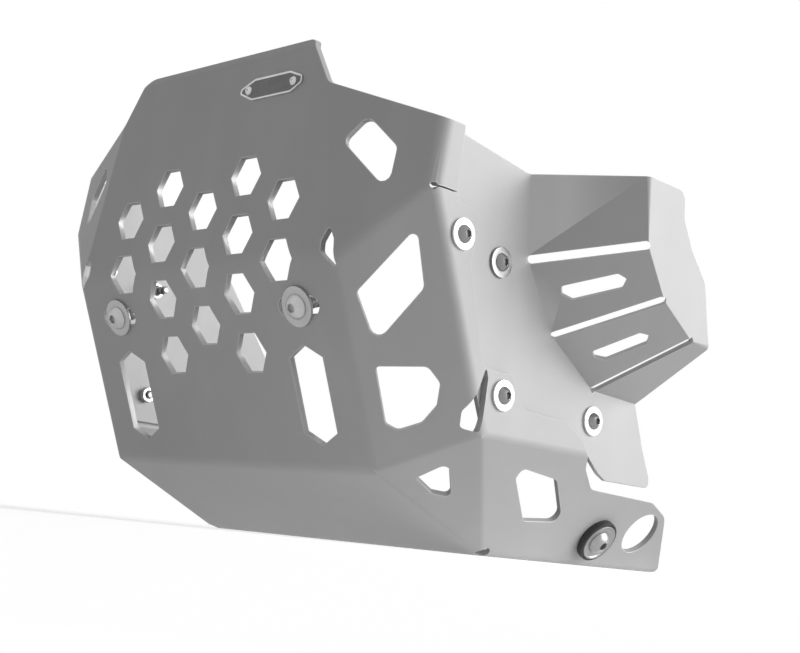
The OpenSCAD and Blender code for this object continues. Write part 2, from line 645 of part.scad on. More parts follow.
module lower_grommet() {
    neck = grommet_d - 8;
    color("#202020") on_flap() rotate_extrude()
        polygon([[sleeve_d/2, -sheet_t - grommet_in], [grommet_d/2 - 1, -sheet_t - grommet_in], [grommet_d/2, -sheet_t - grommet_in + 1],
            [grommet_d/2, -sheet_t], [neck/2, -sheet_t], [neck/2, 0], [grommet_d/2, 0], [grommet_d/2, grommet_out - 1.5],
            [grommet_d/2 - 1.5, grommet_out], [sleeve_d/2, grommet_out]]);
}
module lower_sleeve() { color("silver") on_flap() translate([0, 0, -sheet_t - grommet_in]) ring(sleeve_d, m_front + 2*bolt_gap, sheet_t + grommet_in + grommet_out); }
module lower_cup() {
    color("gainsboro") on_flap() translate([0, 0, grommet_out]) difference() {
        union() {
            cylinder(d = cup_d, h = cup_t);
            cylinder(d = cup_d - 4, h = cup_t + 1.4);
        }
        translate([0, 0, cup_t]) cylinder(d = cup_d - 7, h = 3);
        translate([0, 0, -1]) cylinder(d = m_front + 2*bolt_gap, h = cup_t + 2);
    }
}
module lower_bolt() {
    head_h = m_front;
    color("dimgray") on_flap() translate([0, 0, grommet_out + cup_t]) difference() {
        union() {
            cylinder(d = m_front*1.625, h = head_h);
            shank(m_front, cup_t + grommet_out + sheet_t + grommet_in, lower_shank, 1);
        }
        translate([0, 0, head_h/2]) cylinder(r = m_front*0.75/sqrt(3), h = head_h, $fn = 6);
    }
}
module left_lower_grommet() { lower_grommet(); }
module left_lower_sleeve() { lower_sleeve(); }
module left_lower_cup() { lower_cup(); }
module left_lower_bolt() { lower_bolt(); }
module right_lower_grommet() { mirror([1, 0, 0]) lower_grommet(); }
module right_lower_sleeve() { mirror([1, 0, 0]) lower_sleeve(); }
module right_lower_cup() { mirror([1, 0, 0]) lower_cup(); }
module right_lower_bolt() { mirror([1, 0, 0]) lower_bolt(); }

// Bare badge plate on the tab, with a rivet at each end
badge_z = tab_z - badge_down;
module badge_place() { facet([badge_x, upper_y(badge_z), badge_z], n_upper) children(); }
module badge_outline() {
    w = badge_w/2;
    h = badge_h/2;
    polygon(rounded([[-w, -1.5], [-w + 1, 2], [-w + 13, h], [w - 11, h], [w, 2.5], [w, -2], [w - 9, -h], [-w + 12, -h]], [2, 2, 4, 4, 2, 2, 4, 4], 3));
}
module badge_plate() {
    color("darkgray") badge_place() difference() {
        linear_extrude(height = badge_t) badge_outline();
        for (x = [-1, 1]) translate([x*badge_w*0.36, 0, -1]) cylinder(d = 3, h = badge_t + 2);
    }
}
module badge_rivet(s) {
    color("silver") badge_place() translate([s*badge_w*0.36, 0, 0]) {
        translate([0, 0, -sheet_t - 1.5]) cylinder(d = 2.8, h = sheet_t + 1.5 + badge_t);
        translate([0, 0, badge_t]) intersection() {
            cylinder(d = 5, h = 1.2);
            translate([0, 0, 1.2 - 3.4]) sphere(r = 3.4);
        }
        translate([0, 0, -sheet_t - 1.5]) cylinder(d = 4.4, h = 1.5);
    }
}
module badge_rivet_inner() { badge_rivet(-1); }
module badge_rivet_outer() { badge_rivet(1); }

main_plate();
left_side_plate();
right_side_plate();
badge_plate();
badge_rivet_inner();
badge_rivet_outer();
front_bolt_left();
front_bolt_right();
front_washer_left();
front_washer_right();
left_flange_bolt();
left_flange_washer();
left_flange_nut();
left_plate_bolt();
left_plate_washer();
left_plate_spacer();
left_tab_bolt();
left_tab_washer();
left_tab_nut();
left_tail_bolt();
left_tail_washer();
left_tail_spacer();
right_flange_bolt();
right_flange_washer();
right_flange_nut();
right_plate_bolt();
right_plate_washer();
right_plate_spacer();
right_tab_bolt();
right_tab_washer();
right_tab_nut();
right_tail_bolt();
right_tail_washer();
right_tail_spacer();
left_lower_grommet();
left_lower_sleeve();
left_lower_cup();
left_lower_bolt();
right_lower_grommet();
right_lower_sleeve();
right_lower_cup();
right_lower_bolt();
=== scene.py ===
"""Looks of a motorcycle engine guard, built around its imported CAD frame."""

import math

import bmesh
import bpy
from bpy.props import FloatProperty, FloatVectorProperty, IntProperty, PointerProperty
from mathutils import Matrix, Vector
from mathutils.bvhtree import BVHTree


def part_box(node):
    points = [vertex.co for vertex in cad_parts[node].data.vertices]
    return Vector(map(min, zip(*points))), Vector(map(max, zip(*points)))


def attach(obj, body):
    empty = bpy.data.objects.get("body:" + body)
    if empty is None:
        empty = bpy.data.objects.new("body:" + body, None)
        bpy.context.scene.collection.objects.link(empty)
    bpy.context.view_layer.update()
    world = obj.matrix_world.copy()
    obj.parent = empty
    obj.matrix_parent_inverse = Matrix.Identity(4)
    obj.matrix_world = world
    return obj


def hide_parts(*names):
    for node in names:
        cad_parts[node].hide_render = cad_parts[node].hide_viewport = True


bl_info = {
    "name": "Engine guard",
    "version": (1, 0, 0),
    "blender": (4, 5, 0),
    "location": "3D View > Sidebar > Engine guard",
    "description": "Dresses the folded engine guard: sheets, fasteners, badge plate and stage",
    "category": "Object",
}

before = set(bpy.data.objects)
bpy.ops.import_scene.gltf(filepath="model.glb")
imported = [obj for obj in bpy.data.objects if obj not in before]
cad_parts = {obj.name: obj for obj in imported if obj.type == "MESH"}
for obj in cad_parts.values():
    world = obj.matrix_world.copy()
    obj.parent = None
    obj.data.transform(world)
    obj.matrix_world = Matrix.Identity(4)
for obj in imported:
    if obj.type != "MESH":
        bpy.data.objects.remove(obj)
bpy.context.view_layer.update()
MM = 0.001
BODY = "root"

# Sides of the machine, and which way each lies along x
SIDES = {"left": 1.0, "right": -1.0}

# How the faces that carry fasteners stand
LOWER_LEAN = math.radians(23.5)
UPPER_LEAN = math.radians(2.0)
FRONT_FACING = Vector((0.0, -math.cos(LOWER_LEAN), -math.sin(LOWER_LEAN)))
TAB_FACING = Vector((0.0, -math.cos(UPPER_LEAN), math.sin(UPPER_LEAN)))

# How far a lower flap rises, and how far its top stands out over its foot, in millimetres
FLAP_RISE, FLAP_OUT = 66.0, 43.8


def side_facing(side):
    """Outward direction of a side plate."""
    return Vector((SIDES[side], 0.0, 0.0))


def flap_facing(side):
    """Outward direction of a lower flap."""
    return Vector((SIDES[side] * FLAP_RISE, 0.0, -FLAP_OUT)).normalized()


# Settings


class GuardSheetSettings(bpy.types.PropertyGroup):
    edge_round: FloatProperty(
        name="Edge rounding",
        description="Width that the outer corners of the sheets are softened by",
        default=0.00035, min=0.0001, max=0.001, unit="LENGTH", precision=5,
    )
    side_fold: FloatProperty(
        name="Pan fold width",
        description="Width that a fold of the raised pan is rounded by on each side",
        default=0.0024, min=0.0, max=0.004, unit="LENGTH", precision=4,
    )
    main_light: FloatVectorProperty(
        name="Main plate, light", description="Lighter tone of the blasted main plate",
        subtype="COLOR", size=3, min=0.0, max=1.0, default=(0.43, 0.43, 0.433),
    )
    main_dark: FloatVectorProperty(
        name="Main plate, dark", description="Darker tone of the blasted main plate",
        subtype="COLOR", size=3, min=0.0, max=1.0, default=(0.395, 0.395, 0.398),
    )
    side_light: FloatVectorProperty(
        name="Side plates, light", description="Lighter tone of the side plates",
        subtype="COLOR", size=3, min=0.0, max=1.0, default=(0.45, 0.45, 0.453),
    )
    side_dark: FloatVectorProperty(
        name="Side plates, dark", description="Darker tone of the side plates",
        subtype="COLOR", size=3, min=0.0, max=1.0, default=(0.432, 0.432, 0.435),
    )
    grain_size: FloatProperty(
        name="Grain size", description="Size of the grain that blasting leaves",
        default=0.0007, min=0.0002, max=0.003, unit="LENGTH", precision=5,
    )


class GuardFastenerSettings(bpy.types.PropertyGroup):
    small_thread: FloatProperty(
        name="Side screw thread", description="Thread diameter of the side screws",
        default=0.006, min=0.004, max=0.008, unit="LENGTH", precision=4,
    )
    small_pitch: FloatProperty(
        name="Side screw pitch", description="Thread pitch of the side screws",
        default=0.001, min=0.0005, max=0.0015, unit="LENGTH", precision=4,
    )
    large_thread: FloatProperty(
        name="Large screw thread", description="Thread diameter of the front and lower screws",
        default=0.008, min=0.006, max=0.010, unit="LENGTH", precision=4,
    )
    large_pitch: FloatProperty(
        name="Large screw pitch", description="Thread pitch of the front and lower screws",
        default=0.00125, min=0.0008, max=0.002, unit="LENGTH", precision=5,
    )
    washer_edge: FloatProperty(
        name="Washer edge", description="Rounding of the washers' stamped edges",
        default=0.0003, min=0.0001, max=0.0006, unit="LENGTH", precision=5,
    )
    turn_seed: IntProperty(
        name="Turn seed", description="Fixed seed for how far each screw was turned",
        default=7, min=0, max=99,
    )
    screw_colour: FloatVectorProperty(
        name="Screw colour", description="Zinc-plated steel of the screws",
        subtype="COLOR", size=3, min=0.0, max=1.0, default=(0.30, 0.30, 0.305),
    )
    bright_washer: FloatVectorProperty(
        name="Bright washer colour", description="Bright washers on the flanges",
        subtype="COLOR", size=3, min=0.0, max=1.0, default=(0.86, 0.86, 0.86),
    )
    grey_washer: FloatVectorProperty(
        name="Grey washer colour", description="Grey zinc-plated washers",
        subtype="COLOR", size=3, min=0.0, max=1.0, default=(0.58, 0.58, 0.585),
    )
    rubber_colour: FloatVectorProperty(
        name="Rubber colour", description="Black rubber of the lower mounts",
        subtype="COLOR", size=3, min=0.0, max=1.0, default=(0.018, 0.018, 0.018),
    )
    badge_colour: FloatVectorProperty(
        name="Badge colour", description="Dark satin field of the bare badge plate",
        subtype="COLOR", size=3, min=0.0, max=1.0, default=(0.17, 0.17, 0.175),
    )


class GuardStageSettings(bpy.types.PropertyGroup):
    lens: FloatProperty(
        name="Lens", description="Focal length of the camera on a 36 mm wide sensor",
        default=63.47, min=20.0, max=200.0, subtype="DISTANCE_CAMERA",
    )
    floor_colour: FloatVectorProperty(
        name="Floor colour", description="Pale floor",
        subtype="COLOR", size=3, min=0.0, max=1.0, default=(0.80, 0.80, 0.80),
    )
    key_power: FloatProperty(
        name="Key light", description="Power of the large soft light on the machine's left",
        default=64.0, min=0.0, max=500.0, subtype="POWER",
    )
    fill_power: FloatProperty(
        name="Fill light", description="Power of the soft light ahead of the machine",
        default=0.4, min=0.0, max=500.0, subtype="POWER",
    )
    top_power: FloatProperty(
        name="Top light", description="Power of the soft light overhead",
        default=1.0, min=0.0, max=500.0, subtype="POWER",
    )


# Node helpers

FLOAT, COLOUR, WHOLE, CHOICE = "NodeSocketFloat", "NodeSocketColor", "NodeSocketInt", "NodeSocketBool"
GEOMETRY, OBJECT, MATERIAL = "NodeSocketGeometry", "NodeSocketObject", "NodeSocketMaterial"


def feed(node, values):
    """Links each named input of a node to an output, or sets the input's own value."""
    for label, value in values.items():
        if isinstance(value, bpy.types.NodeSocket):
            node.id_data.links.new(value, node.inputs[label])
        else:
            node.inputs[label].default_value = value


def add(tree, kind, values=None, **settings):
    """A new node with its settings and what its inputs are fed."""
    node = tree.nodes.new(kind)
    for name, value in settings.items():
        setattr(node, name, value)
    feed(node, values or {})
    return node


def math_node(tree, operation, a, b):
    """Result of a math node on two values or outputs."""
    return add(tree, "ShaderNodeMath", {0: a, 1: b}, operation=operation).outputs[0]


def new_group(name, kind, inputs, outputs):
    """An empty node group with named sockets, and its input and output nodes."""
    tree = bpy.data.node_groups.new(name, kind)
    for label, socket, default in inputs:
        made = tree.interface.new_socket(label, in_out="INPUT", socket_type=socket)
        if default is not None:
            made.default_value = default
    for label, socket in outputs:
        tree.interface.new_socket(label, in_out="OUTPUT", socket_type=socket)
    return tree, add(tree, "NodeGroupInput"), add(tree, "NodeGroupOutput")


# Materials

# How far roughness wanders over a surface
ROUGH_SWAY = 0.012

# What rubbing takes off the roughness, and how much paler it makes the colour
RUBBED_SMOOTH = 0.12
RUBBED_PALE = 1.35

GRAIN_HEIGHT = 0.2 * MM


def noise(tree, place, scale, detail=2.0, rough=0.5):
    """Value of a noise texture at a place."""
    values = {"Vector": place, "Scale": scale, "Detail": detail, "Roughness": rough}
    return add(tree, "ShaderNodeTexNoise", values).outputs["Fac"]


def spread(tree, value, low, high, to_low=0.0, to_high=1.0):
    """A value stretched from one range to another and held inside it."""
    values = {"Value": value, "From Min": low, "From Max": high, "To Min": to_low, "To Max": to_high}
    return add(tree, "ShaderNodeMapRange", values).outputs["Result"]


def mix_colour(tree, share, a, b):
    """Two colours mixed by a share."""
    node = add(tree, "ShaderNodeMix", data_type="RGBA")
    feed(node, {"Factor": share, "A": a, "B": b})
    return node.outputs["Result"]


def blasted_grain():
    """Group: cloudy tone, roughness and fine height of a blasted or plated surface."""
    name = "Blasted grain"
    if name in bpy.data.node_groups:
        return bpy.data.node_groups[name]
    tree, given, out = new_group(
        name, "ShaderNodeTree",
        [("Light", COLOUR, (0.6, 0.6, 0.6, 1.0)), ("Dark", COLOUR, (0.4, 0.4, 0.4, 1.0)),
         ("Grain Scale", FLOAT, 1400.0), ("Cloud Scale", FLOAT, 14.0), ("Roughness", FLOAT, 0.5)],
        [("Colour", COLOUR), ("Roughness", FLOAT), ("Height", FLOAT)],
    )
    place = add(tree, "ShaderNodeTexCoord").outputs["Object"]
    grain = noise(tree, place, given.outputs["Grain Scale"], 3.0, 0.6)
    cloud = noise(tree, place, given.outputs["Cloud Scale"], 4.0, 0.6)
    patch = noise(tree, place, math_node(tree, "MULTIPLY", given.outputs["Cloud Scale"], 9.0), 3.0, 0.6)
    broad = spread(tree, cloud, 0.32, 0.68, 0.0, 0.55)
    small = spread(tree, patch, 0.3, 0.7, 0.0, 0.2)
    fine = spread(tree, grain, 0.3, 0.7, 0.0, 0.25)
    tone = math_node(tree, "ADD", broad, math_node(tree, "ADD", small, fine))
    colour = mix_colour(tree, tone, given.outputs["Dark"], given.outputs["Light"])
    uneven = spread(tree, patch, 0.3, 0.7, -ROUGH_SWAY, ROUGH_SWAY)
    rough = math_node(tree, "ADD", given.outputs["Roughness"], uneven)
    feed(out, {"Colour": colour, "Roughness": rough, "Height": grain})
    return tree


def handling_marks():
    """Group: mask of faint rubbed streaks and stray fine scratches."""
    name = "Handling marks"
    if name in bpy.data.node_groups:
        return bpy.data.node_groups[name]
    tree, given, out = new_group(
        name, "ShaderNodeTree",
        [("Streak Scale", FLOAT, 30.0), ("Scratch Scale", FLOAT, 120.0),
         ("Amount", FLOAT, 0.5), ("Scratches", FLOAT, 1.0)],
        [("Mask", FLOAT)],
    )
    place = add(tree, "ShaderNodeTexCoord").outputs["Object"]
    stretch = {"Vector": place, "Rotation": (0.4, 0.7, 0.3), "Scale": (1.0, 1.0, 0.12)}
    along = add(tree, "ShaderNodeMapping", stretch).outputs["Vector"]
    streak = spread(tree, noise(tree, along, given.outputs["Streak Scale"], 3.0), 0.50, 0.80)
    stretch = {"Vector": place, "Rotation": (1.1, -0.3, 0.9), "Scale": (1.0, 0.03, 1.0)}
    across = add(tree, "ShaderNodeMapping", stretch).outputs["Vector"]
    scratch = spread(tree, noise(tree, across, given.outputs["Scratch Scale"], 1.0), 0.70, 0.74)
    scratch = math_node(tree, "MULTIPLY", scratch, given.outputs["Scratches"])
    both = math_node(tree, "MAXIMUM", math_node(tree, "MULTIPLY", streak, 0.6), scratch)
    feed(out, {"Mask": math_node(tree, "MULTIPLY", both, given.outputs["Amount"])})
    return tree


def shade_of(colour, share):
    """A colour made lighter or darker by a share."""
    return tuple(min(1.0, c * share) for c in colour)


def surface(name, light, dark, metal, rough, grain, cloud, bump, marks=0.0, scratch=0.0):
    """Material on the grain group, with handling marks where a finish shows them.

    Grain, cloud and scratch are the scales of their patterns, bump and marks are strengths.
    """
    if name in bpy.data.materials:
        return bpy.data.materials[name]
    made = bpy.data.materials.new(name)
    made.use_nodes = True
    tree = made.node_tree
    base = add(tree, "ShaderNodeGroup", node_tree=blasted_grain())
    feed(base, {
        "Light": (*light, 1.0), "Dark": (*dark, 1.0),
        "Grain Scale": grain, "Cloud Scale": cloud, "Roughness": rough,
    })
    colour, roughness = base.outputs["Colour"], base.outputs["Roughness"]
    if marks:
        rubbed = add(tree, "ShaderNodeGroup", node_tree=handling_marks())
        feed(rubbed, {"Amount": marks, "Scratch Scale": scratch, "Scratches": 1.0 if scratch else 0.0})
        mask = rubbed.outputs["Mask"]
        colour = mix_colour(tree, mask, colour, (*shade_of(light, RUBBED_PALE), 1.0))
        roughness = math_node(tree, "SUBTRACT", roughness, math_node(tree, "MULTIPLY", mask, RUBBED_SMOOTH))
    heights = {"Strength": bump, "Distance": GRAIN_HEIGHT, "Height": base.outputs["Height"]}
    normal = add(tree, "ShaderNodeBump", heights).outputs["Normal"]
    feed(tree.nodes["Principled BSDF"], {
        "Base Color": colour, "Metallic": metal, "Roughness": roughness, "Normal": normal,
    })
    return made


def finishes(scene):
    """All finishes of the guard by a short name."""
    sheet, parts = scene.guard_sheet, scene.guard_fasteners
    blasted = 1.0 / sheet.grain_size
    screw, badge, rubber = parts.screw_colour, parts.badge_colour, parts.rubber_colour
    bright, grey = parts.bright_washer, parts.grey_washer
    return {
        "main": surface(
            "Blasted main sheet", sheet.main_light, sheet.main_dark, metal=0.25, rough=0.58,
            grain=blasted, cloud=9.0, bump=0.10, marks=0.18,
        ),
        "side": surface(
            "Blasted side sheet", sheet.side_light, sheet.side_dark, metal=0.25, rough=0.58,
            grain=blasted, cloud=11.0, bump=0.10, marks=0.15,
        ),
        "cut": surface(
            "Laser-cut edge", shade_of(sheet.side_light, 1.1), sheet.main_dark, metal=0.5, rough=0.45,
            grain=2600.0, cloud=60.0, bump=0.2,
        ),
        "rubbed": surface(
            "Rubbed corner", shade_of(sheet.side_light, 1.3), sheet.side_light, metal=0.45, rough=0.45,
            grain=1800.0, cloud=40.0, bump=0.03,
        ),
        "screw": surface(
            "Zinc-plated screw", screw, shade_of(screw, 0.7), metal=0.9, rough=0.34,
            grain=2200.0, cloud=90.0, bump=0.04, marks=0.3, scratch=500.0,
        ),
        "bright": surface(
            "Bright washer", bright, shade_of(bright, 0.85), metal=0.7, rough=0.40,
            grain=2400.0, cloud=80.0, bump=0.04, marks=0.2, scratch=500.0,
        ),
        "grey": surface(
            "Grey washer", grey, shade_of(grey, 0.8), metal=0.6, rough=0.40,
            grain=2400.0, cloud=80.0, bump=0.05, marks=0.3, scratch=500.0,
        ),
        "turned": surface(
            "Turned steel", (0.62, 0.62, 0.62), (0.46, 0.46, 0.465), metal=0.7, rough=0.34,
            grain=3000.0, cloud=120.0, bump=0.05, marks=0.3, scratch=600.0,
        ),
        "cup": surface(
            "Pressed cup", (0.40, 0.40, 0.405), (0.28, 0.28, 0.285), metal=0.8, rough=0.33,
            grain=3000.0, cloud=140.0, bump=0.05, marks=0.35, scratch=600.0,
        ),
        "rubber": surface(
            "Mount rubber", shade_of(rubber, 1.6), rubber, metal=0.0, rough=0.62,
            grain=1600.0, cloud=60.0, bump=0.25,
        ),
        "badge": surface(
            "Badge field", badge, shade_of(badge, 0.7), metal=0.6, rough=0.45,
            grain=3000.0, cloud=70.0, bump=0.06,
        ),
        "rim": surface(
            "Badge rim", (0.72, 0.72, 0.72), (0.56, 0.56, 0.565), metal=0.75, rough=0.30,
            grain=3000.0, cloud=70.0, bump=0.03, marks=0.3, scratch=600.0,
        ),
    }


# Geometry node trees


def seat_group():
    """Geometry group: sets one piece on every seat point, facing as the point says."""
    name = "Set on seats"
    if name in bpy.data.node_groups:
        return bpy.data.node_groups[name]
    tree, given, out = new_group(
        name, "GeometryNodeTree",
        [("Seats", GEOMETRY, None), ("Piece", GEOMETRY, None),
         ("Turn", FLOAT, 0.0), ("Seed", WHOLE, 0)],
        [("Instances", GEOMETRY)],
    )
    facing = add(tree, "GeometryNodeInputNamedAttribute", {"Name": "facing"}, data_type="FLOAT_VECTOR")
    stand = add(tree, "FunctionNodeAlignRotationToVector", {"Vector": facing.outputs["Attribute"]}, axis="Z")
    chance = add(tree, "FunctionNodeRandomValue", {"Seed": given.outputs["Seed"]}, data_type="FLOAT")
    most = next(socket for socket in chance.inputs if socket.name == "Max" and socket.enabled)
    tree.links.new(given.outputs["Turn"], most)
    angle = next(socket for socket in chance.outputs if socket.enabled)
    turned = add(tree, "FunctionNodeAxisAngleToRotation", {"Axis": (0.0, 0.0, 1.0), "Angle": angle})
    both = add(tree, "FunctionNodeRotateRotation", rotation_space="LOCAL")
    feed(both, {"Rotation": stand.outputs["Rotation"], "Rotate By": turned.outputs["Rotation"]})
    placed = add(tree, "GeometryNodeInstanceOnPoints", {
        "Points": given.outputs["Seats"], "Instance": given.outputs["Piece"],
        "Rotation": both.outputs["Rotation"],
    })
    feed(out, {"Instances": placed.outputs["Instances"]})
    return tree


def finish_tree(tree, given, out, piece, turn, seed):
    """Seats the piece, then ends the tree in Realize Instances and Set Material."""
    seated = add(tree, "GeometryNodeGroup", node_tree=seat_group())
    feed(seated, {"Seats": given.outputs["Seats"], "Piece": piece, "Turn": turn, "Seed": seed})
    real = add(tree, "GeometryNodeRealizeInstances", {"Geometry": seated.outputs["Instances"]})
    looks = {"Geometry": real.outputs["Geometry"], "Material": given.outputs["Material"]}
    feed(out, {"Geometry": add(tree, "GeometryNodeSetMaterial", looks).outputs["Geometry"]})
    return tree


def ring_tree():
    """Geometry tree: a washer, spacer or sleeve with rounded edges on every seat."""
    name = "Rings on seats"
    if name in bpy.data.node_groups:
        return bpy.data.node_groups[name]
    tree, given, out = new_group(
        name, "GeometryNodeTree",
        [("Seats", GEOMETRY, None), ("Outer Diameter", FLOAT, 0.018), ("Bore", FLOAT, 0.0066),
         ("Thickness", FLOAT, 0.0016), ("Edge", FLOAT, 0.0003), ("Material", MATERIAL, None)],
        [("Geometry", GEOMETRY)],
    )
    outer, bore = given.outputs["Outer Diameter"], given.outputs["Bore"]
    middle = math_node(tree, "MULTIPLY", math_node(tree, "ADD", outer, bore), 0.25)
    wall = math_node(tree, "MULTIPLY", math_node(tree, "SUBTRACT", outer, bore), 0.5)
    circle = add(tree, "GeometryNodeCurvePrimitiveCircle", {"Resolution": 64, "Radius": middle})
    sides = {"Width": wall, "Height": given.outputs["Thickness"]}
    section = add(tree, "GeometryNodeCurvePrimitiveQuadrilateral", sides)
    soft = add(tree, "GeometryNodeFilletCurve", mode="POLY")
    feed(soft, {
        "Curve": section.outputs["Curve"], "Radius": given.outputs["Edge"],
        "Count": 3, "Limit Radius": True,
    })
    curves = {"Curve": circle.outputs["Curve"], "Profile Curve": soft.outputs["Curve"]}
    ring = add(tree, "GeometryNodeCurveToMesh", curves)
    return finish_tree(tree, given, out, ring.outputs["Mesh"], 0.0, 0)


def screw_tree():
    """Geometry tree: a turned piece on every seat, with a thread wound along its shank."""
    name = "Screws on seats"
    if name in bpy.data.node_groups:
        return bpy.data.node_groups[name]
    tree, given, out = new_group(
        name, "GeometryNodeTree",
        [("Seats", GEOMETRY, None), ("Piece", OBJECT, None), ("Threaded", CHOICE, False),
         ("Thread Diameter", FLOAT, 0.006), ("Pitch", FLOAT, 0.001), ("Thread Length", FLOAT, 0.01),
         ("Thread Foot", FLOAT, -0.02), ("Turn", FLOAT, 1.0), ("Seed", WHOLE, 0),
         ("Material", MATERIAL, None)],
        [("Geometry", GEOMETRY)],
    )
    body = add(tree, "GeometryNodeObjectInfo", {"Object": given.outputs["Piece"]}, transform_space="ORIGINAL")
    pitch, length = given.outputs["Pitch"], given.outputs["Thread Length"]
    ridge_size = math_node(tree, "MULTIPLY", pitch, 0.5)
    outside = math_node(tree, "MULTIPLY", given.outputs["Thread Diameter"], 0.5)
    radius = math_node(tree, "SUBTRACT", outside, ridge_size)
    helix = add(tree, "GeometryNodeCurveSpiral", {
        "Resolution": 24, "Rotations": math_node(tree, "DIVIDE", length, pitch),
        "Start Radius": radius, "End Radius": radius, "Height": length,
    })
    ridge = add(tree, "GeometryNodeCurvePrimitiveCircle", {"Resolution": 3, "Radius": ridge_size})
    curves = {"Curve": helix.outputs["Curve"], "Profile Curve": ridge.outputs["Curve"], "Fill Caps": True}
    wound = add(tree, "GeometryNodeCurveToMesh", curves)
    foot = add(tree, "ShaderNodeCombineXYZ", {"Z": given.outputs["Thread Foot"]}).outputs["Vector"]
    lowered = add(tree, "GeometryNodeTransform", {"Geometry": wound.outputs["Mesh"], "Translation": foot})
    choice = add(tree, "GeometryNodeSwitch", input_type="GEOMETRY")
    feed(choice, {"Switch": given.outputs["Threaded"], "True": lowered.outputs["Geometry"]})
    join = add(tree, "GeometryNodeJoinGeometry", {"Geometry": body.outputs["Geometry"]})
    feed(join, {"Geometry": choice.outputs["Output"]})
    turn, seed = given.outputs["Turn"], given.outputs["Seed"]
    return finish_tree(tree, given, out, join.outputs["Geometry"], turn, seed)


# Mesh helpers

SMOOTH_TURN = 32.0
HEX_FLATS = 6


def link(obj):
    """Puts an object into the scene."""
    bpy.context.scene.collection.objects.link(obj)
    return obj


def drop(obj):
    """Removes a helper object and its mesh."""
    mesh = obj.data
    bpy.data.objects.remove(obj)
    bpy.data.meshes.remove(mesh)


def mesh_object(name, bm):
    """Object made from a finished edit mesh."""
    mesh = bpy.data.meshes.new(name)
    bm.to_mesh(mesh)
    bm.free()
    return link(bpy.data.objects.new(name, mesh))


def smooth_to(mesh, degrees):
    """Smooth shading, with edges sharper than an angle kept sharp."""
    mesh.shade_smooth()
    mesh.set_sharp_from_angle(angle=math.radians(degrees))


def soften_corners(obj, width):
    """Small round on the corners of a cut or stamped piece."""
    soften = obj.modifiers.new("Softened corners", "BEVEL")
    soften.width = width
    soften.segments = 2
    soften.use_clamp_overlap = False
    return soften


def centre(node):
    """Middle of a CAD node's box."""
    low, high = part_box(node)
    return (low + high) / 2


def in_mm(section):
    """A section given in millimetres, in metres."""
    return [(radius * MM, height * MM) for radius, height in section]


def seat_points(rows):
    """Helper object whose vertices are the seats, each with the way it faces."""
    mesh = bpy.data.meshes.new("seats")
    mesh.from_pydata([point for point, facing in rows], [], [])
    facings = mesh.attributes.new("facing", "FLOAT_VECTOR", "POINT")
    for item, (point, facing) in zip(facings.data, rows):
        item.vector = facing
    return link(bpy.data.objects.new("seats", mesh))


def grown(name, rows, tree, values):
    """Plain mesh object that a tree grows on the seats."""
    seats = seat_points(rows)
    modifier = seats.modifiers.new("Grow", "NODES")
    modifier.node_group = tree
    sockets = [item for item in tree.interface.items_tree if item.item_type == "SOCKET"]
    keys = {socket.name: socket.identifier for socket in sockets if socket.in_out == "INPUT"}
    for label, value in values.items():
        modifier[keys[label]] = value
    shown = seats.evaluated_get(bpy.context.evaluated_depsgraph_get())
    mesh = bpy.data.meshes.new_from_object(shown)
    mesh.name = name
    drop(seats)
    return link(bpy.data.objects.new(name, mesh))


def finish_piece(obj, nodes, slot, degrees=SMOOTH_TURN):
    """Shades a piece and lets it ride in place of its CAD nodes."""
    smooth_to(obj.data, degrees)
    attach(obj, BODY)
    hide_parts(*nodes)


def hex_radius(radius, angle):
    """Radius of a hexagon at an angle, from its flats, or from (flats, the cap on its corners)."""
    sector = 2 * math.pi / HEX_FLATS
    flat, cap = radius if isinstance(radius, tuple) else (radius, math.inf)
    return min(flat / math.cos((angle + sector / 2) % sector - sector / 2), cap)


def turned_piece(name, section, steps):
    """Helper object turned from (radius, height) points, with "hex" as a third value where it has flats.

    A section that doesn't start on the axis is closed on itself.
    """
    bm = bmesh.new()
    rings = []
    for radius, height, *flats in section:
        if radius == 0:
            rings.append([bm.verts.new((0.0, 0.0, height))])
            continue
        ring = []
        for step in range(steps):
            angle = 2 * math.pi * step / steps
            r = hex_radius(radius, angle) if flats else radius
            ring.append(bm.verts.new((r * math.cos(angle), r * math.sin(angle), height)))
        rings.append(ring)
    pairs = list(zip(rings, rings[1:]))
    if section[0][0] != 0:
        pairs.append((rings[-1], rings[0]))
    for low, high in pairs:
        for i in range(steps):
            j = (i + 1) % steps
            corners = [low[i % len(low)], low[j % len(low)], high[j % len(high)], high[i % len(high)]]
            bm.faces.new(list(dict.fromkeys(corners)))
    bmesh.ops.recalc_face_normals(bm, faces=bm.faces)
    return mesh_object(name, bm)


def add_rings(name, nodes, rows, sizes, edge, finish, slot):
    """Rings of (outer, bore, thickness) on their seats."""
    outer, bore, thick = sizes
    values = {"Outer Diameter": outer, "Bore": bore, "Thickness": thick, "Edge": edge, "Material": finish}
    finish_piece(grown(name, rows, ring_tree(), values), nodes, slot)


def add_turned(name, nodes, rows, section, finish, slot, inputs, steps=48, degrees=SMOOTH_TURN):
    """Turned pieces of one kind on their seats, with more inputs of their tree where they need them."""
    body = turned_piece(name + "_body", section, steps)
    values = {"Piece": body, "Threaded": False, "Material": finish, **inputs}
    finish_piece(grown(name, rows, screw_tree(), values), nodes, slot, degrees)
    drop(body)


# Screws and nuts

# Largest angle that chance turns a piece by
MOST_TURN = 1.0

# Shares of the pitch: depth of the thread, its run-out, and where the wound ridge starts and ends
THREAD_DEPTH = 0.72
RUN_OUT = 0.4
RIDGE_START = 0.8
RIDGE_END = 0.6

# Chamfer at the end of a shank, and what it leaves of the core
END_CHAMFER = 0.7 * MM
END_SHARE = 0.78

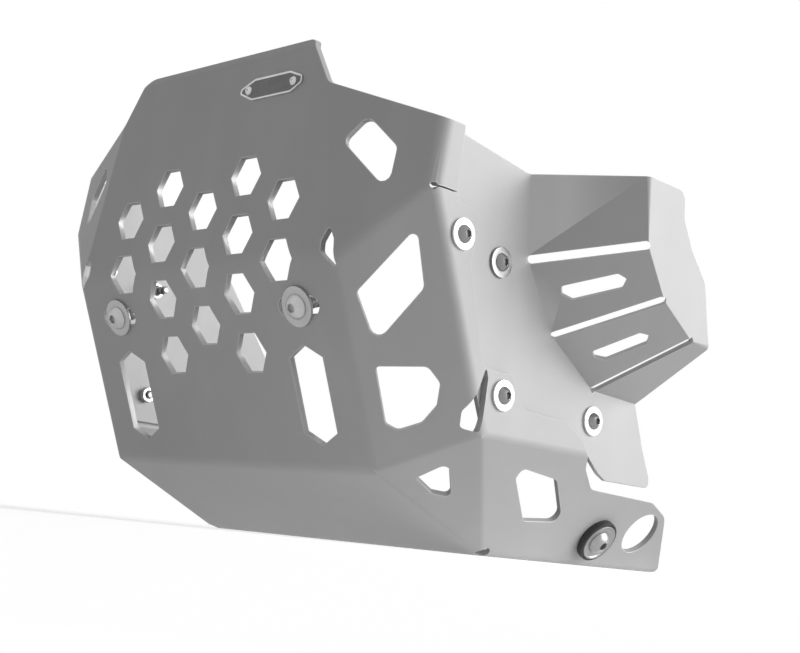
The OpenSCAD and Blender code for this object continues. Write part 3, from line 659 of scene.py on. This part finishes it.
# Button head: height as a share of its width, and how the crown stands above that
DOME_TALL = 0.32
DOME_CROWN = 1.06
DOME_STEPS = 7
RIM_IN = 0.1 * MM
RIM_TALL = 0.25 * MM
RIM_UNDERCUT = 0.2 * MM

# Hexagonal socket: half its flats as a share of the thread, its mouth, and heights as shares of the head's
SOCKET_FLATS = 0.32
SOCKET_MOUTH = 1.2
SOCKET_POINT = 0.36
SOCKET_FLOOR = 0.42
SOCKET_TOP = 0.88

# Nut: height, half its flats as a share of the thread, caps on its corners, and chamfers
NUT_TALL = 4.8 * MM
NUT_FLATS = 0.835
NUT_FACE_CAP = 1.04
NUT_CORNER_CAP = 1.16
NUT_CHAMFER = 0.7 * MM
BORE_CHAMFER = 0.3 * MM


def shank_section(thread, pitch, grip, end):
    """Section of a shank below its head: plain grip, thread core and a chamfered end."""
    core = thread / 2 - pitch * THREAD_DEPTH
    return [
        (thread / 2, 0.0), (thread / 2, -grip), (core, -grip - pitch * RUN_OUT),
        (core, -end + END_CHAMFER), (core * END_SHARE, -end), (0, -end),
    ]


def screw_section(head, shank):
    """Section of a button-head screw, from the floor of its socket outwards and down the shank."""
    thread = shank[0]
    tall = head * DOME_TALL
    sphere = (head * head / 4 + tall * tall) / (2 * tall)
    middle = tall * DOME_CROWN - sphere
    socket = thread * SOCKET_FLATS
    mouth = socket * SOCKET_MOUTH
    reach = head / 2 - RIM_IN - mouth
    dome = [mouth + reach * math.sin(math.pi / 2 * i / DOME_STEPS) for i in range(DOME_STEPS + 1)]
    return [
        (0, tall * SOCKET_POINT), (socket, tall * SOCKET_FLOOR, "hex"), (socket, tall * SOCKET_TOP, "hex"),
        *((radius, middle + math.sqrt(sphere**2 - radius**2)) for radius in dome),
        (head / 2, RIM_TALL), (head / 2 - RIM_UNDERCUT, 0.0),
        *shank_section(*shank),
    ]


def nut_section(thread):
    """Section of a hexagonal nut, with its corners and its bore chamfered."""
    half, bore, flat = NUT_TALL / 2, thread / 2, thread * NUT_FLATS
    face, corner = (flat, flat * NUT_FACE_CAP), (flat, flat * NUT_CORNER_CAP)
    mouth = bore + BORE_CHAMFER
    return [
        (mouth, -half), (face, -half, "hex"), (corner, -half + NUT_CHAMFER, "hex"),
        (corner, half - NUT_CHAMFER, "hex"), (face, half, "hex"), (mouth, half),
        (bore, half - BORE_CHAMFER), (bore, -half + BORE_CHAMFER),
    ]


def add_screws(name, nodes, rows, head, shank, finish, seed, steps=48):
    """Threaded screws of one kind on their seats, with a shank of (thread, pitch, grip, end)."""
    thread, pitch, grip, end = shank
    inputs = {
        "Threaded": True, "Thread Diameter": thread, "Pitch": pitch,
        "Thread Length": end - grip - (RIDGE_START + RIDGE_END) * pitch,
        "Thread Foot": RIDGE_END * pitch - end, "Turn": MOST_TURN, "Seed": seed,
    }
    add_turned(name, nodes, rows, screw_section(head, shank), finish, "bolt_metal", inputs, steps)


# Sheets

MAIN_THICK = 4 * MM
SIDE_THICK = 3 * MM
SHEET, CUT, RUBBED = 0, 1, 2

# Points closer than this are one, and faces that turn less than this lie in one plane
MERGE = 0.04 * MM
FLAT_TURN = math.radians(0.5)

# A face is broad where the sheet's other face lies opposite, about one thickness below
START_BELOW = 0.01 * MM
OPPOSITE = -0.85
THICKNESS_SLACK = 1.35

# The pan's crown folds lie beyond this x, are at least so long and turn by this much
PAN_CROWN = 0.2
FOLD_LENGTH = 10 * MM
FOLD_TURN = (math.radians(20.0), math.radians(80.0))

# A face that looks sideways by more than this share is crown or wall, and no cut edge
WALL_LEAN = 0.3

# Outer corners that turn more than this are softened
CORNER_TURN = math.radians(32.0)


def flat_regions(bm):
    """Groups of faces that lie in one plane and touch."""
    taken = set()
    for start in bm.faces:
        if start in taken:
            continue
        taken.add(start)
        region, waiting = [start], [start]
        while waiting:
            touching = [face for edge in waiting.pop().edges for face in edge.link_faces]
            for other in touching:
                if other not in taken and other.normal.angle(start.normal, math.pi) < FLAT_TURN:
                    taken.add(other)
                    region.append(other)
                    waiting.append(other)
        yield region


def mark_cut_faces(bm, thickness):
    """Gives the faces across the sheet's thickness their own material slot."""
    tree = BVHTree.FromBMesh(bm)
    for region in flat_regions(bm):
        area = broad = 0.0
        for face in region:
            below = face.calc_center_median() - face.normal * START_BELOW
            hit, facing, _, depth = tree.ray_cast(below, -face.normal)
            area += face.calc_area()
            if hit is not None and facing.dot(face.normal) < OPPOSITE and depth < thickness * THICKNESS_SLACK:
                broad += face.calc_area()
        for face in region:
            face.material_index = SHEET if broad > 0.5 * area else CUT


def is_fold(edge):
    """Whether an edge is a fold between the pan's crown and one of its walls."""
    if len(edge.link_faces) != 2 or edge.calc_length() < FOLD_LENGTH:
        return False
    if min(abs(vert.co.x) for vert in edge.verts) <= PAN_CROWN:
        return False
    broad = all(abs(face.normal.x) > WALL_LEAN or face.material_index == SHEET for face in edge.link_faces)
    return broad and FOLD_TURN[0] < edge.calc_face_angle() < FOLD_TURN[1]


def sheet_piece(scene, name, node, thickness, fold_round, finish):
    """Copy of a folded sheet with cut faces marked and every outer corner softened."""
    bm = bmesh.new()
    bm.from_mesh(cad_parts[node].data)
    bmesh.ops.remove_doubles(bm, verts=bm.verts, dist=MERGE)
    bmesh.ops.dissolve_degenerate(bm, edges=bm.edges, dist=MERGE)
    mark_cut_faces(bm, thickness)
    bmesh.ops.dissolve_limit(bm, angle_limit=FLAT_TURN, verts=bm.verts, edges=bm.edges, delimit={"MATERIAL"})
    folds = bm.edges.layers.float.new("fold")
    corners = bm.edges.layers.float.new("corner")
    for edge in bm.edges:
        folded = is_fold(edge)
        edge[folds] = 1.0 if folded else 0.0
        edge[corners] = 1.0 if not folded and edge.calc_face_angle_signed(0.0) > CORNER_TURN else 0.0
    obj = mesh_object(name, bm)
    looks = finishes(scene)
    for label in (finish, "cut", "rubbed"):
        obj.data.materials.append(looks[label])
    obj.data.shade_smooth()
    if fold_round:
        pressed = obj.modifiers.new("Pressed folds", "BEVEL")
        pressed.width = fold_round
        pressed.segments = 5
        pressed.limit_method = "WEIGHT"
        pressed.edge_weight = "fold"
        pressed.use_clamp_overlap = False
    soften = soften_corners(obj, scene.guard_sheet.edge_round)
    soften.limit_method = "WEIGHT"
    soften.edge_weight = "corner"
    soften.miter_outer = "MITER_ARC"
    soften.material = RUBBED
    even = obj.modifiers.new("Even shading", "WEIGHTED_NORMAL")
    even.mode = "FACE_AREA"
    even.weight = 80
    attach(obj, BODY)
    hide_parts(node)


class GUARD_OT_main_sheet(bpy.types.Operator):
    """Dress the folded main plate"""

    bl_idname = "guard.main_sheet"
    bl_label = "Main plate"
    bl_options = {"REGISTER", "UNDO"}

    def execute(self, context):
        sheet_piece(context.scene, "folded_main_plate", "main_plate", MAIN_THICK, 0.0, "main")
        return {"FINISHED"}


class GUARD_OT_side_sheets(bpy.types.Operator):
    """Dress both side plates"""

    bl_idname = "guard.side_sheets"
    bl_label = "Side plates"
    bl_options = {"REGISTER", "UNDO"}

    def execute(self, context):
        scene = context.scene
        fold = scene.guard_sheet.side_fold
        for side in SIDES:
            name, node = f"{side}_side_sheet", f"{side}_side_plate"
            sheet_piece(scene, name, node, SIDE_THICK, fold, "side")
        return {"FINISHED"}


# Badge plate

# Width of the raised rim, width and depth of the step inside it
BADGE_RIM = 0.9 * MM
BADGE_STEP = 0.3 * MM
BADGE_SUNK = 0.35 * MM

# Round on corners that turn more than this
BADGE_EDGE = 0.15 * MM
BADGE_CORNER = math.radians(35.0)

# Least share by which a face of the blank looks forwards to be its front
FORWARDS = 0.999

# From the middle of a rivet's CAD node forwards to the tab's front face
RIVET_SEAT = 1.55 * MM

# Section of a rivet, from the dimple in its head to its closed end behind the tab,
# as radius and height above the tab's front face, in millimetres
RIVET = (
    (0, 1.6), (0.6, 1.6), (0.8, 2.2), (1.4, 2.3), (2.0, 1.9), (2.5, 1.3), (2.5, 1.2), (1.4, 1.2),
    (1.4, -4.0), (2.2, -4.0), (2.2, -5.1), (1.8, -5.5), (0, -5.5),
)


class GUARD_OT_badge(bpy.types.Operator):
    """Bare badge plate with a raised rim, and its two rivets"""

    bl_idname = "guard.badge"
    bl_label = "Badge plate and rivets"
    bl_options = {"REGISTER", "UNDO"}

    def execute(self, context):
        scene = context.scene
        looks = finishes(scene)
        bm = bmesh.new()
        bm.from_mesh(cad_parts["badge_plate"].data)
        bmesh.ops.remove_doubles(bm, verts=bm.verts, dist=MERGE)
        bmesh.ops.dissolve_limit(bm, angle_limit=FLAT_TURN, verts=bm.verts, edges=bm.edges)
        field = [face for face in bm.faces if face.normal.dot(TAB_FACING) > FORWARDS]
        bmesh.ops.inset_region(bm, faces=field, thickness=BADGE_RIM, depth=0.0)
        bmesh.ops.inset_region(bm, faces=field, thickness=BADGE_STEP, depth=-BADGE_SUNK)
        for face in field:
            face.material_index = 1
        blank = mesh_object("badge_blank", bm)
        for label in ("rim", "badge"):
            blank.data.materials.append(looks[label])
        soften = soften_corners(blank, BADGE_EDGE)
        soften.limit_method = "ANGLE"
        soften.angle_limit = BADGE_CORNER
        finish_piece(blank, ["badge_plate"], "badge_sheet")

        nodes = ["badge_rivet_inner", "badge_rivet_outer"]
        rows = [(centre(node) + TAB_FACING * RIVET_SEAT, TAB_FACING) for node in nodes]
        inputs = {"Turn": MOST_TURN, "Seed": scene.guard_fasteners.turn_seed}
        add_turned("badge_rivets", nodes, rows, in_mm(RIVET), looks["rim"], "rivet_metal", inputs, steps=32)
        return {"FINISHED"}


# Fasteners

SIDE_WASHER_THICK = 1.6 * MM
FRONT_WASHER_THICK = 2 * MM
SPACER_LONG = 9 * MM

# Outer diameter, bore and thickness
SIDE_WASHER = (18 * MM, 6.6 * MM, SIDE_WASHER_THICK)
FRONT_WASHER = (24 * MM, 8.6 * MM, FRONT_WASHER_THICK)
SPACER = (12 * MM, 6.6 * MM, SPACER_LONG)
SLEEVE = (12 * MM, 8.6 * MM, 11.5 * MM)

# Width of the screws' heads
SIDE_HEAD = 10.5 * MM
FRONT_HEAD = 15 * MM
LOWER_HEAD = 16 * MM

# The front washers' edges and the spacers' are rounder than the side washers' by these shares
FRONT_EDGE = 1.3
SPACER_EDGE = 2.0

# What stands out past a side nut, past a spacer, and past the washer of a front screw
PAST_NUT = 1.5 * MM
PAST_SPACER = 11 * MM
FRONT_SHANK = 26 * MM


class GUARD_OT_side_fasteners(bpy.types.Operator):
    """Screws, washers, nuts and spacers of the side plates"""

    bl_idname = "guard.side_fasteners"
    bl_label = "Side fasteners"
    bl_options = {"REGISTER", "UNDO"}

    def execute(self, context):
        looks, parts = finishes(context.scene), context.scene.guard_fasteners
        thread, pitch, rounding = parts.small_thread, parts.small_pitch, parts.washer_edge
        clamped = [(side, place) for side in SIDES for place in ("flange", "tab")]
        spaced = [(side, place) for side in SIDES for place in ("plate", "tail")]
        bright = clamped + [(side, "tail") for side in SIDES]
        # Painted shade: the plate washers are the same side washers as the bright ones, given a darker finish
        # that stands in for a dark reflection
        grey = [(side, "plate") for side in SIDES]

        def at(part, places, push=0.0):
            """Seats at the middles of a part's nodes, pushed outwards."""
            middles = [(centre(f"{side}_{place}_{part}"), side_facing(side)) for side, place in places]
            return [(middle + facing * push, facing) for middle, facing in middles]

        def names(part, places):
            """A part's nodes at the given places."""
            return [f"{side}_{place}_{part}" for side, place in places]

        for name, part, places, sizes, edge, finish, slot in (
            ("bright_washers", "washer", bright, SIDE_WASHER, rounding, "bright", "side_washer_metal"),
            # The plate washers take the darker cup finish as painted shade
            ("grey_washers", "washer", grey, SIDE_WASHER, rounding, "cup", "washer_metal"),
            ("spacers", "spacer", spaced, SPACER, SPACER_EDGE * rounding, "turned", "nut_metal"),
        ):
            add_rings(name, names(part, places), at(part, places), sizes, edge, looks[finish], slot)

        for name, places, stack, past in (
            ("clamped_side_screws", clamped, MAIN_THICK + SIDE_THICK, NUT_TALL + PAST_NUT),
            ("spaced_side_screws", spaced, SIDE_THICK + SPACER_LONG, PAST_SPACER),
        ):
            grip = SIDE_WASHER_THICK + stack
            rows = at("washer", places, SIDE_WASHER_THICK / 2)
            shank = (thread, pitch, grip, grip + past)
            add_screws(name, names("bolt", places), rows, SIDE_HEAD, shank, looks["screw"], parts.turn_seed)

        nuts, rows = names("nut", clamped), at("nut", clamped)
        inputs = {"Turn": MOST_TURN, "Seed": parts.turn_seed + 1}
        add_turned("side_nuts", nuts, rows, nut_section(thread), looks["turned"], "nut_metal", inputs)
        return {"FINISHED"}


class GUARD_OT_front_fasteners(bpy.types.Operator):
    """The two large screws of the front face, with their washers"""

    bl_idname = "guard.front_fasteners"
    bl_label = "Front fasteners"
    bl_options = {"REGISTER", "UNDO"}

    def execute(self, context):
        looks, parts = finishes(context.scene), context.scene.guard_fasteners
        washers = [f"front_washer_{side}" for side in SIDES]
        bolts = [f"front_bolt_{side}" for side in SIDES]
        rows = [(centre(node), FRONT_FACING) for node in washers]
        edge = parts.washer_edge * FRONT_EDGE
        add_rings("front_washers", washers, rows, FRONT_WASHER, edge, looks["grey"], "washer_metal")
        rows = [(middle + facing * FRONT_WASHER_THICK / 2, facing) for middle, facing in rows]
        grip, end = FRONT_WASHER_THICK + MAIN_THICK, FRONT_WASHER_THICK + FRONT_SHANK
        shank = (parts.large_thread, parts.large_pitch, grip, end)
        add_screws("front_screws", bolts, rows, FRONT_HEAD, shank, looks["turned"], parts.turn_seed)
        return {"FINISHED"}


# Lower mounts

# From the middle of a sleeve out to the flap's outer face, and from there to the screw's head
FLAP_FACE = 1.25 * MM
LOWER_SEAT = 4 * MM

# How far behind the flap's outer face a screw's grip ends, and its tip
LOWER_GRIP = 8 * MM
LOWER_SHANK = 23 * MM

# Rubbers and cups aren't turned by chance, and shade smoothly over their lips
STILL = {"Turn": 0.0, "Seed": 0}
MOUNT_SMOOTH = 40.0

# Sections of the rubber ring and the cup, as radius and height above the flap, in millimetres
RUBBER = (
    (6.0, -7.0), (13.4, -7.0), (14.2, -6.7), (14.65, -6.0), (14.75, -5.0), (14.6, -4.15), (14.2, -4.0),
    (10.75, -4.0), (10.75, 0.0),
    (14.2, 0.0), (14.6, 0.2), (14.75, 0.9), (14.75, 3.0), (14.65, 3.8), (14.35, 4.35), (13.9, 4.5),
    (13.3, 4.5), (13.05, 4.2), (13.0, 3.0), (6.0, 3.0),
)
CUP = (
    (4.3, 3.0), (12.4, 3.0), (12.85, 3.3), (12.85, 4.7), (12.65, 5.0), (12.2, 5.1), (11.75, 4.95),
    (11.5, 4.5), (11.0, 4.1), (10.2, 3.9), (9.2, 3.85), (8.7, 3.95), (8.3, 4.0), (4.5, 4.0), (4.3, 3.8),
)


class GUARD_OT_lower_mounts(bpy.types.Operator):
    """Rubber rings, sleeves, cups and button-head screws of the lower flaps"""

    bl_idname = "guard.lower_mounts"
    bl_label = "Lower mounts"
    bl_options = {"REGISTER", "UNDO"}

    def execute(self, context):
        looks, parts = finishes(context.scene), context.scene.guard_fasteners

        def nodes(part):
            """The two nodes of a part of the mounts."""
            return [f"{side}_lower_{part}" for side in SIDES]

        sleeves, turned = nodes("sleeve"), looks["turned"]
        middles = [(centre(node), flap_facing(side)) for node, side in zip(sleeves, SIDES)]
        add_rings("lower_sleeves", sleeves, middles, SLEEVE, parts.washer_edge, turned, "cup_metal")
        flap = [(middle + facing * FLAP_FACE, facing) for middle, facing in middles]
        for name, part, section, finish, slot in (
            ("lower_rubbers", "grommet", RUBBER, "rubber", "mount_rubber"),
            ("lower_cups", "cup", CUP, "cup", "cup_metal"),
        ):
            add_turned(
                name, nodes(part), flap, in_mm(section), looks[finish], slot, STILL,
                steps=64, degrees=MOUNT_SMOOTH,
            )

        rows = [(point + facing * LOWER_SEAT, facing) for point, facing in flap]
        grip, end = LOWER_SEAT + LOWER_GRIP, LOWER_SEAT + LOWER_SHANK
        shank, seed = (parts.large_thread, parts.large_pitch, grip, end), parts.turn_seed
        add_screws("lower_screws", nodes("bolt"), rows, LOWER_HEAD, shank, looks["cup"], seed, steps=60)
        return {"FINISHED"}


# Stage

# Camera solved from the photograph, in metres, then lifted just above the floor
EYE = Vector((0.6828, -0.7457, -0.0056))
EYE_RIGHT = Vector((0.72063, 0.68610, 0.09984))
EYE_UP = Vector((0.03928, -0.18418, 0.98211))
EYE_FORWARD = Vector((-0.69221, 0.70381, 0.15967))
EYE_HEIGHT = 0.004
AIM = Vector((0.03, -0.10, 0.12))

# Each lamp's name, place and size
LAMPS = (
    ("Key light", (2.0, 1.25, 0.7), (2.2, 1.8)),
    ("Fill light", (-0.6, -2.2, 1.0), (1.6, 1.2)),
    ("Top light", (0.0, 0.0, 2.2), (1.6, 1.6)),
)
LAMP_TARGET = Vector((0.0, -0.08, 0.13))

WHITE = (1.0, 1.0, 1.0, 1.0)

# How bright the floor is as light and the near floor as seen, and the surroundings as light
FLOOR_GLOW = 0.34
FLOOR_SEEN = 0.68
WORLD_GLOW = 0.07

# The floor's half width, its gap below the part, and where it turns to white paper
FLOOR_REACH = 8.0
FLOOR_GAP = 0.2 * MM
PAPER_FROM, PAPER_FULL = 0.45, 1.1


def add_camera(lens):
    """Camera at the photograph's viewing angle, still aimed at the part after its lift."""
    data = bpy.data.cameras.new("Photograph view")
    data.sensor_width = 36.0
    data.lens = lens
    data.clip_start, data.clip_end = 0.05, 60.0
    camera = link(bpy.data.objects.new("Photograph view", data))
    lifted = EYE.copy()
    lifted.z = EYE_HEIGHT
    turned = (AIM - EYE).rotation_difference(AIM - lifted).to_matrix()
    axes = Matrix((turned @ EYE_RIGHT, turned @ EYE_UP, turned @ -EYE_FORWARD)).transposed()
    camera.matrix_world = Matrix.Translation(lifted) @ axes.normalized().to_4x4()
    bpy.context.scene.camera = camera


def add_lamp(name, place, size, power):
    """Soft rectangular lamp that points at the part."""
    data = bpy.data.lights.new(name, "AREA")
    data.shape = "RECTANGLE"
    data.size, data.size_y = size
    data.energy = power
    lamp = link(bpy.data.objects.new(name, data))
    lamp.location = place
    lamp.rotation_mode = "QUATERNION"
    lamp.rotation_quaternion = (LAMP_TARGET - Vector(place)).to_track_quat("-Z", "Y")


def background_rays(tree):
    """1 for the rays that should see a white background."""
    rays = add(tree, "ShaderNodeLightPath")
    first = math_node(tree, "MAXIMUM", rays.outputs["Is Camera Ray"], rays.outputs["Is Glossy Ray"])
    return math_node(tree, "MAXIMUM", first, rays.outputs["Is Transmission Ray"])


def mix_value(tree, share, a, b):
    """Two numbers mixed by a share."""
    return math_node(tree, "ADD", math_node(tree, "MULTIPLY", share, b - a), a)


def floor_material(colour):
    """Pale floor that keeps its shadow near the part and reads as white paper further out."""
    made = bpy.data.materials.new("Pale floor")
    made.use_nodes = True
    tree = made.node_tree
    seen = background_rays(tree)
    shader = tree.nodes["Principled BSDF"]
    feed(shader, {
        "Base Color": (*colour, 1.0), "Roughness": 0.9, "Specular IOR Level": 0.1,
        "Emission Color": WHITE, "Emission Strength": mix_value(tree, seen, FLOOR_GLOW, FLOOR_SEEN),
    })
    place = add(tree, "ShaderNodeTexCoord").outputs["Object"]
    reach = add(tree, "ShaderNodeVectorMath", {0: place}, operation="LENGTH").outputs["Value"]
    paper = add(tree, "ShaderNodeEmission", {"Strength": mix_value(tree, seen, FLOOR_GLOW, 1.0)})
    beyond = spread(tree, reach, PAPER_FROM, PAPER_FULL)
    blend = add(tree, "ShaderNodeMixShader", {
        "Fac": beyond, 1: shader.outputs["BSDF"], 2: paper.outputs["Emission"],
    })
    feed(tree.nodes["Material Output"], {"Surface": blend.outputs["Shader"]})
    return made


def add_floor(colour):
    """Large pale floor just under the part."""
    reach = FLOOR_REACH
    corners = [(-reach, -reach, 0), (reach, -reach, 0), (reach, reach, 0), (-reach, reach, 0)]
    mesh = bpy.data.meshes.new("floor")
    mesh.from_pydata(corners, [], [(0, 1, 2, 3)])
    mesh.materials.append(floor_material(colour))
    floor = link(bpy.data.objects.new("floor", mesh))
    floor.location.z = -FLOOR_GAP


def add_world():
    """Pale surroundings: white to the camera, softer as light."""
    world = bpy.data.worlds.new("Pale studio")
    bpy.context.scene.world = world
    world.use_nodes = True
    tree = world.node_tree
    strength = mix_value(tree, background_rays(tree), WORLD_GLOW, 1.0)
    feed(tree.nodes["Background"], {"Color": WHITE, "Strength": strength})


class GUARD_OT_stage(bpy.types.Operator):
    """Floor, surroundings, soft lamps and the camera"""

    bl_idname = "guard.stage"
    bl_label = "Stage"
    bl_options = {"REGISTER", "UNDO"}

    def execute(self, context):
        stage = context.scene.guard_stage
        context.scene.view_settings.view_transform = "Standard"
        add_world()
        add_floor(stage.floor_colour)
        powers = (stage.key_power, stage.fill_power, stage.top_power)
        for (name, place, size), power in zip(LAMPS, powers):
            add_lamp(name, place, size, power)
        add_camera(stage.lens)
        return {"FINISHED"}


# Add-on

OPERATORS = (
    GUARD_OT_main_sheet, GUARD_OT_side_sheets, GUARD_OT_badge, GUARD_OT_side_fasteners,
    GUARD_OT_front_fasteners, GUARD_OT_lower_mounts, GUARD_OT_stage,
)


class VIEW3D_PT_engine_guard(bpy.types.Panel):
    """Buttons and settings of the engine guard"""

    bl_label = "Engine guard"
    bl_idname = "VIEW3D_PT_engine_guard"
    bl_space_type = "VIEW_3D"
    bl_region_type = "UI"
    bl_category = "Engine guard"

    def draw(self, context):
        layout = self.layout
        for group in (context.scene.guard_sheet, context.scene.guard_fasteners, context.scene.guard_stage):
            box = layout.box()
            for name in group.__annotations__:
                box.prop(group, name)
        for operator in OPERATORS:
            layout.operator(operator.bl_idname)


SETTINGS = {
    "guard_sheet": GuardSheetSettings,
    "guard_fasteners": GuardFastenerSettings,
    "guard_stage": GuardStageSettings,
}
CLASSES = (*SETTINGS.values(), *OPERATORS, VIEW3D_PT_engine_guard)


def register():
    """Registers the classes and hangs the settings on the scene."""
    for cls in CLASSES:
        bpy.utils.register_class(cls)
    for name, cls in SETTINGS.items():
        setattr(bpy.types.Scene, name, PointerProperty(type=cls))


def unregister():
    """Takes the settings and the classes away again."""
    for name in SETTINGS:
        delattr(bpy.types.Scene, name)
    for cls in reversed(CLASSES):
        bpy.utils.unregister_class(cls)


def main():
    """Registers the add-on, then builds every piece in order."""
    register()
    bpy.ops.guard.main_sheet()
    bpy.ops.guard.side_sheets()
    bpy.ops.guard.badge()
    bpy.ops.guard.side_fasteners()
    bpy.ops.guard.front_fasteners()
    bpy.ops.guard.lower_mounts()
    bpy.ops.guard.stage()
    bpy.context.view_layer.update()


if __name__ == "__main__":
    main()
